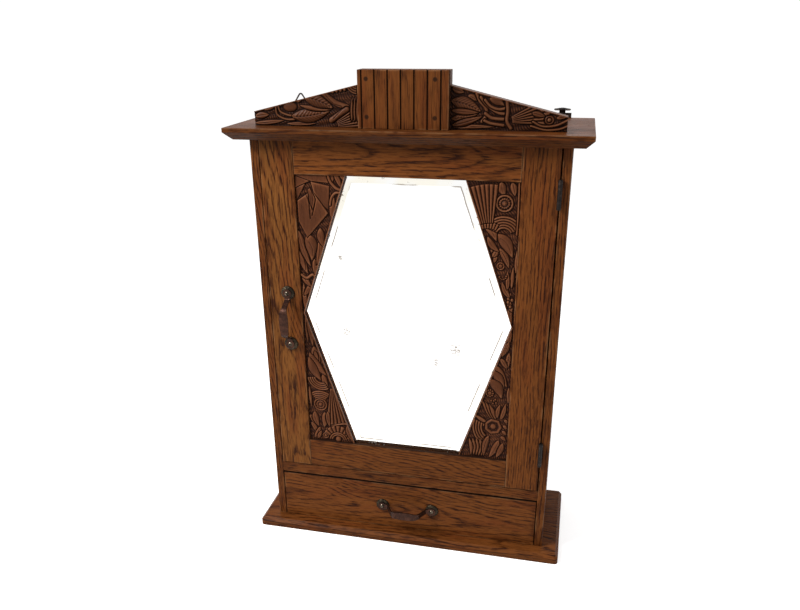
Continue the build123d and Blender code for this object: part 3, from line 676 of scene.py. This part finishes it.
    def distance(self, points):
        """How far each point is from a smooth line through a few points."""
        path = [points[0], *points, points[-1]]
        best = np.full(self.x.shape, 1e3)
        for a, b, c, d in zip(path, path[1:], path[2:], path[3:]):
            for step in range(9):
                t = step / 8
                place = [0.5 * (2 * b[i] + (c[i] - a[i]) * t
                                + (2 * a[i] - 5 * b[i] + 4 * c[i] - d[i]) * t**2
                                + (3 * b[i] - a[i] - 3 * c[i] + d[i]) * t**3) for i in (0, 1)]
                if step or a is b:
                    run = (place[0] - last[0], place[1] - last[1]) if step else (0.0, 1e-6)
                    start = last if step else place
                    size = run[0] ** 2 + run[1] ** 2 + 1e-9
                    across = self.x - start[0]
                    up = self.z - start[1]
                    share = np.clip((across * run[0] + up * run[1]) / size, 0.0, 1.0)
                    gap = np.hypot(across - share * run[0], up - share * run[1])
                    best = np.minimum(best, gap)
                last = place
        return best

    def band(self, points, width, high=-0.15, low=-2.1):
        """A round strap that follows a smooth line."""
        share = self.distance(points) / (width / 2)
        height = low + (high - low) * round_over(share)
        self.put((1 - share) * width / 2, height, soft=0.6)

    def score(self, points, width=0.9, depth=1.1):
        """A line cut into what is there."""
        self.h -= depth * ease(self.distance(points), width, 0.0) * (self.h > -2.6)


# %% [markdown]
# The panels differ: broad folded planes and long leaves at the upper left, fans and ringed flowers
# elsewhere. Each is a list of motifs in the cabinet's own millimetres, lowest first.


# %% Upper left: a folded kite above curling leaves
def carve_upper_left(r):
    r.leaf((-136, 347), (-139, 392), 7, 1.0, ribs=3.2, fold=0.4)
    r.leaf((-139, 372), (-128, 392), 7, -1.0, fold=0.5)
    r.leaf((-140, 404), (-127, 384), 8, -2.0, fold=0.6)
    r.band([(-141, 401), (-134, 397), (-126, 402), (-121, 399)], 4.5)
    r.leaf((-122, 424), (-123, 402), 8, 1.0)
    r.leaf((-113, 449), (-120, 415), 9, 2.0, full=0.7)
    r.leaf((-141, 436), (-131, 402), 9, -2.5, fold=0.0)
    r.score([(-139, 430), (-135.5, 420), (-134.5, 408)])
    r.leaf((-142, 462), (-127, 412), 9.5, -2.0, fold=0.5)
    r.leaf((-128, 456), (-125.5, 421), 15, 1.5, fold=0.0, full=0.62)
    r.score([(-128, 447), (-124, 438), (-124.5, 428)], depth=0.8)
    r.leaf((-112, 466), (-108, 440), 10, -1.5, fold=0.3)
    r.facet([(-121, 463), (-99, 484), (-88, 492), (-104, 446), (-113, 443)], (-0.05, 0.05), -0.9)
    r.facet([(-143, 498), (-126, 528), (-143, 519)], (0.05, 0.04), -1.0)
    r.facet([(-143, 517), (-121, 527), (-143, 536)], (0.03, -0.05), -0.9)
    r.facet([(-143, 533), (-121, 526), (-93, 524), (-88, 536), (-143, 537)], (0.0, -0.07), -0.9)
    r.facet([(-122, 526), (-116, 503), (-99, 489), (-97, 521)], (-0.045, 0.03), -0.6)
    kite = [(-130, 452), (-99, 487), (-113, 505), (-120, 515), (-141, 501), (-141, 474)]
    r.facet(kite, (0.02, 0.012), -0.35)
    r.facet([(-124.5, 476), (-116, 503.5), (-123, 518), (-131, 512), (-125.5, 500)], (0.09, 0.0), -1.2)
    r.score([(-130, 511), (-125.5, 500), (-124.5, 478)], 1.0, 1.5)
    r.score([(-123, 517), (-116.5, 503), (-122, 482)], 1.0, 1.5)
    r.score([(-121, 512), (-120, 503), (-123, 488)], 0.8, 0.7)
    r.leaf((-96, 480), (-94, 512), 9, -1.5, fold=0.3)
    r.band([(-97, 497), (-95, 506), (-90, 512), (-84, 513)], 4.0)
    r.band([(-99, 537), (-96, 527), (-89, 519), (-82, 516)], 4.5)
    r.leaf((-90, 537), (-82, 519), 7, 1.0, fold=0.5)
    r.leaf((-83, 536), (-76, 527), 6, 1.0, fold=0.3)


# %% Upper right: a fan, a ringed flower and arches over leaves
def carve_upper_right(r):
    r.leaf((139, 350), (136, 388), 6, 0.5, ribs=3.0)
    r.leaf((140, 368), (133, 392), 6, 0.8, ribs=3.0)
    for x, z in ((134, 382), (137, 376), (132, 391), (136, 392), (139, 385)):
        r.bud((x, z), 2.3, 2.8)
    r.leaf((136, 388), (125, 409), 7, 1.5)
    r.leaf((137.5, 400), (138.5, 430), 5, 0.0, fold=0.0)
    r.leaf((132, 398), (131, 424), 5.5, -1.0)
    r.leaf((142, 420), (142, 452), 5, 0.0, fold=0.0)
    for step in range(6):
        angle = math.radians(200 + step * 32)
        r.bud((126 + 4.3 * math.cos(angle), 416 + 4.3 * math.sin(angle)), 1.9, 1.6)
    r.flower((122.5, 429), 5.6, petals=7, rings=2)
    r.leaf((117, 444), (114, 432), 5)
    r.leaf((110, 446), (116, 456), 6)
    r.leaf((120, 452), (133, 426), 8, 2.0, ribs=2.6)
    r.leaf((112, 440), (118, 452), 7, -1.0)
    r.leaf((105, 466), (121, 447), 8, -2.5, fold=0.4)
    r.leaf((118, 470), (137, 440), 13, 2.5, fold=0.0, full=0.75)
    r.score([(121, 465), (129, 459), (135, 446)], 0.8, 0.6)
    r.leaf((100, 481), (116, 460), 10, 3.5, fold=0.0)
    r.score([(102, 476), (109, 474), (114, 466)], 0.8, 0.7)
    r.arcs((124.5, 468), 8.5, 3.3, 5, 22, 158)
    r.fan((105, 455), 62, 118, 7, 21, 30)
    r.leaf((119, 534), (124, 517), 10, -1.5, high=-0.2, fold=0.3)
    r.leaf((132, 534), (136, 517), 8, 0.5)
    r.flower((124, 508), 11.3, petals=14, rings=3)
    r.score([(118, 512), (124, 515), (130, 510)], 0.8, 0.6)
    r.score([(119, 503), (125, 501), (130, 505)], 0.8, 0.6)
    r.band([(140.5, 470), (141, 495), (140.5, 533)], 3.0)
    r.fan((108, 452), 84, 118, 8, 31, 79)


# %% Lower left: leaves in a cup, a daisy, a spread of rays and a scalloped arch
def carve_lower_left(r):
    r.leaf((-139, 346), (-138, 300), 5, 0.0, fold=0.3)
    r.leaf((-137, 335), (-131, 296), 7, 1.2, fold=0.4)
    r.leaf((-121, 300), (-110, 272), 8, -1.5)
    r.leaf((-130, 298), (-123, 268), 12, -1.0, fold=0.0)
    r.leaf((-128.5, 292), (-124, 274), 6, -0.5, fold=0.5)
    r.leaf((-137, 288), (-112, 254), 11, -3.0, fold=0.5, ribs=3.4)
    r.leaf((-108, 268), (-105, 238), 8, -1.0)
    r.leaf((-119, 256), (-112, 236), 8, -1.0, fold=0.4)
    r.arcs((-121, 252), 8.5, 3.2, 4, 186, 300)
    r.leaf((-138, 282), (-121, 246), 12, -3.0, fold=0.0, full=0.9)
    r.arcs((-124, 206), 12.2, 3.0, 4, 52, 128)
    r.leaf((-140, 236), (-138, 200), 4.5, 0.0, fold=0.0)
    r.flower((-124.5, 208), 10.6, petals=14, rings=3)
    r.fan((-107.5, 247), 262, 296, 7, 12, 70)
    r.leaf((-142, 190), (-133, 172), 8, 2.0)
    r.leaf((-119, 196), (-121, 171), 10, 1.5, fold=0.3)
    r.leaf((-114, 198), (-112, 172), 7, -1.0)
    r.leaf((-134, 196), (-128, 172), 9, -2.0)
    r.band([(-117, 169), (-105, 176), (-92, 180), (-80, 180)], 3.4)
    r.leaf((-140, 178), (-131, 158), 7, 1.5)
    r.leaf((-127, 171), (-137, 152), 7, 1.0)
    r.arcs((-100, 152), 7.5, 3.1, 2, 4, 176)
    r.fan((-100, 152), 8, 172, 9, 13.9, 24)
    r.leaf((-86, 178), (-79, 153), 8, -1.0, ribs=3.0)
    r.flower((-119, 158), 5.2, petals=7, rings=2)
    r.bud((-100, 154), 4.6, 5.2)
    r.leaf((-131, 152), (-125, 166), 6)


# %% Lower right: leaves round a ringed rose, ribs below
def carve_lower_right(r):
    r.leaf((140, 344), (136, 318), 5, 0.5, ribs=3.0)
    r.leaf((138, 328), (129, 305), 7, 1.0, ribs=3.6, fold=0.3)
    r.leaf((139, 312), (136, 286), 7, 0.5, ribs=3.6)
    r.leaf((128, 303), (137, 288), 7, 1.0)
    r.leaf((124, 292), (139, 262), 11, -2.0, fold=0.4)
    r.leaf((119, 285), (134, 255), 11, 2.5, fold=0.3, full=0.7)
    r.leaf((114, 272), (132, 244), 13, 4.0, fold=0.0, full=0.8)
    r.leaf((141, 262), (141, 236), 5, 0.0)
    r.bud((116, 251), 7.0, 7.5, high=-1.0)
    for step in range(9):
        angle = math.radians(step * 40)
        r.bud((116 + 4.4 * math.cos(angle), 251 + 4.8 * math.sin(angle)), 1.7, 1.7, high=-0.3)
    for x, z in ((122, 240), (125, 237), (121, 236), (118.5, 240), (124, 242)):
        r.bud((x, z), 1.7, 1.7)
    for dx in (0.0, 5.5, 11.0):
        r.leaf((119.5 + dx * 0.55, 212), (104.5 + dx, 241 - dx * 0.55), 5.6, -0.8, fold=0.3)
    r.leaf((114, 206), (96, 217), 5.5, 0.6, fold=0.3)
    r.leaf((113, 201), (94, 208), 5.5, 0.8, fold=0.3)
    r.leaf((127, 214), (131, 236), 6, 1.0)
    r.leaf((132, 212), (138, 238), 6, -1.0)
    r.arcs((121, 199), 13.0, 3.6, 4, 158, 236, flat=1.15)
    for step in range(5):
        r.leaf((110 - step * 5.0, 182 - step * 0.8), (107 - step * 3.6, 151), 5.4, 2.2, fold=0.0)
    r.leaf((117, 186), (111, 152), 8, -2.0, ribs=2.8)
    r.leaf((131, 180), (118, 151), 9, 1.5, fold=0.6)
    r.leaf((137, 176), (128, 152), 8, 1.0, fold=0.4)
    for step in range(4):
        r.leaf((133 + step * 1.5, 186 + step * 9), (141, 180 + step * 9), 5.0, 0.6)
    r.flower((122.5, 200.5), 11.6, petals=0, rings=2, sides=7)
    r.bud((122.5, 200.5), 4.4, 4.4, high=-0.5)


# %% Crest wings: long pointed leaves on the left, a rope and a feather on the right
def carve_wing_left(r):
    r.leaf((-192, 596), (-150, 600), 5.5, -0.8)
    r.leaf((-190, 604), (-171, 606), 8, 0.5)
    r.leaf((-178, 612), (-162, 616), 6, 0.5)
    r.band([(-159, 618), (-156, 610), (-146, 606), (-136, 605)], 3.2)
    r.band([(-162, 615), (-160, 606), (-148, 601), (-132, 602)], 3.2)
    r.bud((-143.5, 616), 9.5, 6.5)
    r.leaf((-134, 621), (-126, 630), 5)
    r.leaf((-150, 596), (-108, 597), 4.5, -0.5)
    r.leaf((-142, 605), (-89, 615), 15, -3.5, ribs=4.5)
    r.leaf((-131, 618), (-90, 613), 5.5, -1.5, fold=0.0)
    r.leaf((-125, 628), (-88, 615), 15, 2.0, ribs=4.5)
    r.leaf((-116, 636), (-97, 632), 8, 0.0)
    r.band([(-101, 633), (-86, 622), (-71, 616.5)], 7.5)
    r.band([(-91, 601), (-82, 607), (-71, 614)], 7.5)
    r.score([(-100, 634), (-88, 621), (-77, 616), (-88, 603)], 0.9, 0.9)
    r.fan((-97, 592), 2, 34, 6, 14, 42)
    for step in range(5):
        r.bud((-88 + step * 5, 634 + step * 0.9), 2.2, 2.6)
    r.arcs((-57, 646), 4.0, 2.8, 4, 180, 268)
    for step in range(3):
        r.leaf((-65 + step * 3.7, 599), (-64 + step * 3.4, 629), 4.0, 0.0, fold=0.0)


def carve_wing_right(r):
    r.leaf((57, 640), (72, 635), 8)
    r.leaf((57, 596), (110, 597), 5, 0.5)
    r.leaf((76, 632), (88, 626), 7, 0.5, ribs=2.2)
    r.leaf((56, 605), (92, 615), 9, -1.5, ribs=3.5)
    r.leaf((57, 598), (94, 609), 8, -1.0)
    r.leaf((56, 626), (92, 614), 14, 2.0, ribs=4.0)
    r.leaf((56, 615), (90, 613), 7, -0.5)
    r.band([(86, 634), (90, 626), (97, 618), (98, 610), (93, 603)], 4.6)
    r.band([(91, 630), (97, 623), (105, 617), (112, 613), (118, 612)], 4.6)
    r.band([(96, 627), (103, 620), (112, 617), (119, 618)], 4.2)
    r.leaf((101, 629), (119, 621), 9, 1.0, fold=0.0)
    r.band([(97, 612), (105, 607), (118, 606)], 4.8)
    r.band([(96, 604), (104, 601), (118, 599)], 4.4)
    r.fan((114, 602), -2, 30, 6, 14, 58)
    r.leaf((150, 614), (166, 610), 7)
    r.band([(152, 604), (163, 599), (178, 600), (191, 606)], 3.4)
    r.band([(150, 599), (166, 595), (182, 596), (192, 600)], 3.2)
    r.bud((170.5, 606), 6.2, 5.6, high=-0.6)
    r.bud((170.5, 606), 3.0, 3.0)
    r.leaf((178, 608), (192, 611), 5)
    r.band([(121, 629), (122.5, 615), (122, 604), (127, 596)], 4.8)


# %% [markdown]
# A panel starts as a flat grid, half a millimetre fine. Its points are lowered, its outline is cut with
# straight planes, and its rim is drawn back to give it thickness. Two numbers stay on each point for the
# finish: how high it is, and how hollow against what is round it; the finish paints shade into low and
# hollow points and highlights onto ridges.

# %% From heights to a panel
carve_step = 0.0005
arris_width = 0.0011  # the rubbed edge along a slanted cut, worn and with a painted highlight, in metres
border = 1.3  # the plain strip along a slanted cut, in mm
border_height = -0.6
deepest = 3.0


def blurred(field, reach):
    """The mean height round each point of a grid."""
    for axis in (0, 1):
        field = sum(np.roll(field, shift, axis) for shift in range(-reach, reach + 1)) / (2 * reach + 1)
    return field


def carved_panel(name, carve, x_range, z_range, cuts, front, back, rim_tone):
    """A carved board from front to back: cuts are (point, outward direction) pairs in x and z.

    rim_tone is the height and the hollow of its sides and back, for the finish; a low, hollow rim is
    painted dark there as painted shade.
    """
    form = bmesh.new()
    wide = (x_range[1] - x_range[0]) / 2
    tall = (z_range[1] - z_range[0]) / 2
    columns = round(2 * wide / carve_step)
    rows = round(2 * tall / carve_step)
    middle = Vector(((x_range[0] + x_range[1]) / 2, front, (z_range[0] + z_range[1]) / 2))
    upright = Matrix.Translation(middle) @ Matrix.Rotation(math.radians(90), 4, "X")
    upright = upright @ Matrix.Diagonal((wide, tall, 1.0, 1.0))
    bmesh.ops.create_grid(form, x_segments=columns, y_segments=rows, size=1.0, matrix=upright)
    points = np.array([v.co for v in form.verts])
    column = np.rint((points[:, 0] - x_range[0]) / (2 * wide) * columns).astype(int)
    row = np.rint((points[:, 2] - z_range[0]) / (2 * tall) * rows).astype(int)
    x = np.linspace(x_range[0], x_range[1], columns + 1)[None, :].repeat(rows + 1, 0) / mm
    z = np.linspace(z_range[0], z_range[1], rows + 1)[:, None].repeat(columns + 1, 1) / mm
    relief = Relief(x, z)
    carve(relief)
    for point, outward in cuts:
        inset = (point[0] / mm - x) * outward[0] + (point[1] / mm - z) * outward[1]
        relief.h = np.where(inset < border, np.maximum(relief.h, border_height), relief.h)
    worn = relief.h * 0.72 + blurred(relief.h, 1) * 0.28
    worn = np.clip(worn + 0.05 * np.sin(x * 0.7 + z * 0.9), -deepest, 0.0)
    near = worn - blurred(worn, 3)
    far = worn - blurred(worn, 10)
    hollow = np.clip(0.5 + 0.34 * near + 0.20 * far, 0.0, 1.0)
    height_layer = form.verts.layers.float.new("height")
    hollow_layer = form.verts.layers.float.new("hollow")
    for vert, i, j in zip(form.verts, row, column):
        vert.co.y = front - worn[i, j] * mm
        vert[height_layer] = 1.0 + worn[i, j] / deepest
        vert[hollow_layer] = hollow[i, j]
    for point, outward in cuts:
        geometry = form.verts[:] + form.edges[:] + form.faces[:]
        bmesh.ops.bisect_plane(form, geom=geometry, dist=1e-7, plane_co=(point[0], 0.0, point[1]),
                               plane_no=(outward[0], 0.0, outward[1]), clear_outer=True)
        reach = Vector(outward)
        for vert in form.verts:
            inward = (point[0] - vert.co.x) * reach.x + (point[1] - vert.co.z) * reach.y
            # The arris is made to read as a ridge, so the finish paints it paler: wear and a painted
            # highlight.
            if inward < arris_width:
                vert[height_layer] = 1.0
                vert[hollow_layer] = max(vert[hollow_layer], 0.90)
    for face in form.faces:
        face.smooth = True
    rim = [edge for edge in form.edges if edge.is_boundary]
    for edge in rim:
        edge.smooth = False
    drawn = bmesh.ops.extrude_edge_only(form, edges=rim)["geom"]
    for item in drawn:
        if isinstance(item, bmesh.types.BMVert):
            item.co.y = back
            item[height_layer], item[hollow_layer] = rim_tone
        if isinstance(item, bmesh.types.BMEdge):
            item.smooth = False
    rim = [edge for edge in form.edges if edge.is_boundary]
    bmesh.ops.edgeloop_fill(form, edges=rim)
    bmesh.ops.recalc_face_normals(form, faces=form.faces)
    return new_piece(name, form)


CARVED_LIGHT = (0.132, 0.0435, 0.0170)
CARVED_DARK_SHADE = (0.014, 0.0034, 0.0014)
CARVED_RUBBED_HIGHLIGHT = (0.205, 0.085, 0.038)


def carved_oak(name, low, high, along, seed, tone=1.0):
    """Stained oak with painted shade that makes it almost black in the cuts and on the low ground, and
    with ridges rubbed paler and given a painted highlight.
    """
    material, shade, surface = new_material(name, Specular_IOR_Level=0.07, IOR=1.45)
    place = shade.here()
    middle = [(a + b) / 2 for a, b in zip(low, high)]
    u, v, w = (place[i] - middle[i] for i in board_axes[along])
    height = shade.stored("height")
    hollow = shade.stored("hollow")
    fibre = shade.noise(u * 30, v * 1300 + seed, w * 1300, detail=3.0, rough=0.6)
    pores = shade.noise(u * 60 + seed, v * 1000, w * 1000, detail=1.5).rise(0.56, 0.70)
    cloud = shade.noise(u * 25, v * 45 + seed, w * 45, detail=3.0)
    # Painted shade: darker in the hollows and on the low ground. Wear and painted highlight: paler on
    # the ridges.
    cut = hollow.rise(0.52, 0.18)
    ridge = hollow.rise(0.52, 0.80)
    ground = height.rise(0.62, 0.22)
    depth = 0.46 + 0.55 * cut + 0.24 * ground - 0.52 * ridge
    depth = depth + 0.22 * pores + 0.50 * (fibre - 0.5) + 0.70 * (cloud - 0.5)
    colour = depth.mix([c * tone for c in CARVED_LIGHT], [c * tone for c in CARVED_DARK_SHADE])
    # Ridges and arrises are rubbed paler by wear and also carry a painted highlight.
    rubbed = hollow.rise(0.66, 0.90) * (0.35 + 0.65 * cloud.rise(0.40, 0.60))
    colour = (rubbed * 0.60).mix(colour, [c * tone for c in CARVED_RUBBED_HIGHLIGHT])
    rough = 0.38 + 0.25 * cut + 0.15 * (cloud - 0.5)
    feed(shade, surface, 0.6 * fibre - 0.8 * pores, depth=0.00018, strength=0.7, Base_Color=colour,
         Roughness=rough)
    return material

# %% The four corners and the two wings
corners = {
    "upper_left": (carve_upper_left, -1, opening_top),
    "upper_right": (carve_upper_right, 1, opening_top),
    "lower_left": (carve_lower_left, -1, opening_bottom),
    "lower_right": (carve_lower_right, 1, opening_bottom),
}
side_margin = 2.5 * mm
# Low and hollow, so the finish paints the walls beside the mirror dark: painted shade.
shaded_corner_rim = (0.40, 0.30)
for number, (corner, (carve, side, end)) in enumerate(corners.items()):
    node = f"spandrel_{corner}"
    low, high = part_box(node)
    inner_x = side * min(abs(low.x), abs(high.x))
    outer_x = side * opening_side
    split = low.z if end == opening_top else high.z
    tip_x = outer_x - side * side_margin
    slant = Vector((tip_x - inner_x, split - end))
    outward = Vector((-slant.y, slant.x)).normalized()
    if outward.x * side > 0:
        outward = -outward
    panel = carved_panel(f"carving_{corner}", carve, sorted((inner_x, outer_x)), sorted((split, end)),
                         [((inner_x, end), outward)], low.y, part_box("mirror_glass")[0].y, shaded_corner_rim)
    panel.data.materials.append(carved_oak(f"carved oak {corner}", low, high, "Z", number + 61.0))
    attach(panel, "door")
    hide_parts(node)
    print(panel.name, len(panel.data.polygons), "faces")

wings = {"left": (carve_wing_left, -1), "right": (carve_wing_right, 1)}
wing_end = 17.0 * mm  # how tall a wing is at its outer end
wing_rim = (1.0, 0.58)
wing_tone = 0.66
for number, (name, (carve, side)) in enumerate(wings.items()):
    node = f"crest_wing_{name}"
    low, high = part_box(node)
    inner_x = side * min(abs(low.x), abs(high.x))
    outer_x = side * max(abs(low.x), abs(high.x))
    end_top = low.z + wing_end
    outward = Vector((side * (high.z - end_top), abs(outer_x - inner_x))).normalized()
    panel = carved_panel(f"carving_wing_{name}", carve, sorted((inner_x, outer_x)), (low.z, high.z),
                         [((inner_x, high.z), outward)], low.y, high.y, wing_rim)
    finish = carved_oak(f"carved oak wing {name}", low, high, "X", number + 71.0, wing_tone)
    panel.data.materials.append(finish)
    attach(panel, "carcase")
    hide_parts(node)
    print(panel.name, len(panel.data.polygons), "faces")

# %% [markdown]
# ## Stage and light
# The floor is plain and pale and the light comes from all round, as on an overcast day by a white
# wall, with a broad panel above and to the left to shape the carving and a faint one overhead. White
# light from everywhere would wash the wood out. The sky could be dimmed and the floor with it, but
# then the background goes grey. So the wood gets a dimmer sky than the camera and the mirror see, the
# floor throws no light up at it, and a little glow of its own keeps the floor pale.

# %% Floor, sky and lamps
floor_glow = 0.50
sky_strength = 1.05
held_back = 0.50  # how much less of the sky reaches matt surfaces
form = bmesh.new()
bmesh.ops.create_grid(form, x_segments=2, y_segments=2, size=12.0)
floor = new_piece("floor", form)
material, shade, surface = new_material("pale floor", Base_Color=(0.93, 0.93, 0.93, 1.0), Roughness=0.9)
surface.inputs["Specular IOR Level"].default_value = 0.1
surface.inputs["Emission Color"].default_value = (1.0, 1.0, 1.0, 1.0)
surface.inputs["Emission Strength"].default_value = floor_glow
floor.data.materials.append(material)
floor.visible_diffuse = False

sky = bpy.data.worlds.new("sky")
sky.use_nodes = True
backdrop = sky.node_tree.nodes["Background"]
backdrop.inputs["Color"].default_value = (1.0, 1.0, 1.0, 1.0)
path = sky.node_tree.nodes.new("ShaderNodeLightPath")
scattered = Shade(sky.node_tree, path.outputs["Is Diffuse Ray"])
strength = sky_strength - held_back * scattered
sky.node_tree.links.new(strength.socket, backdrop.inputs["Strength"])
bpy.context.scene.world = sky
bpy.context.scene.view_settings.view_transform = "Standard"


def lamp(name, place, aim, size, power):
    """A square soft panel of light that faces a point."""
    data = bpy.data.lights.new(name, "AREA")
    data.size = size
    data.energy = power
    obj = bpy.data.objects.new(name, data)
    obj.location = place
    obj.rotation_euler = (Vector(aim) - Vector(place)).to_track_quat("-Z", "Y").to_euler()
    bpy.context.scene.collection.objects.link(obj)


lamp("panel above left", (-1.2, -0.9, 1.6), (0.0, 0.0, 0.35), 0.7, 52.0)
lamp("panel above", (0.3, 0.4, 2.2), (0.0, 0.0, 0.5), 1.4, 10.0)
print("lamps:", len(bpy.data.lights))
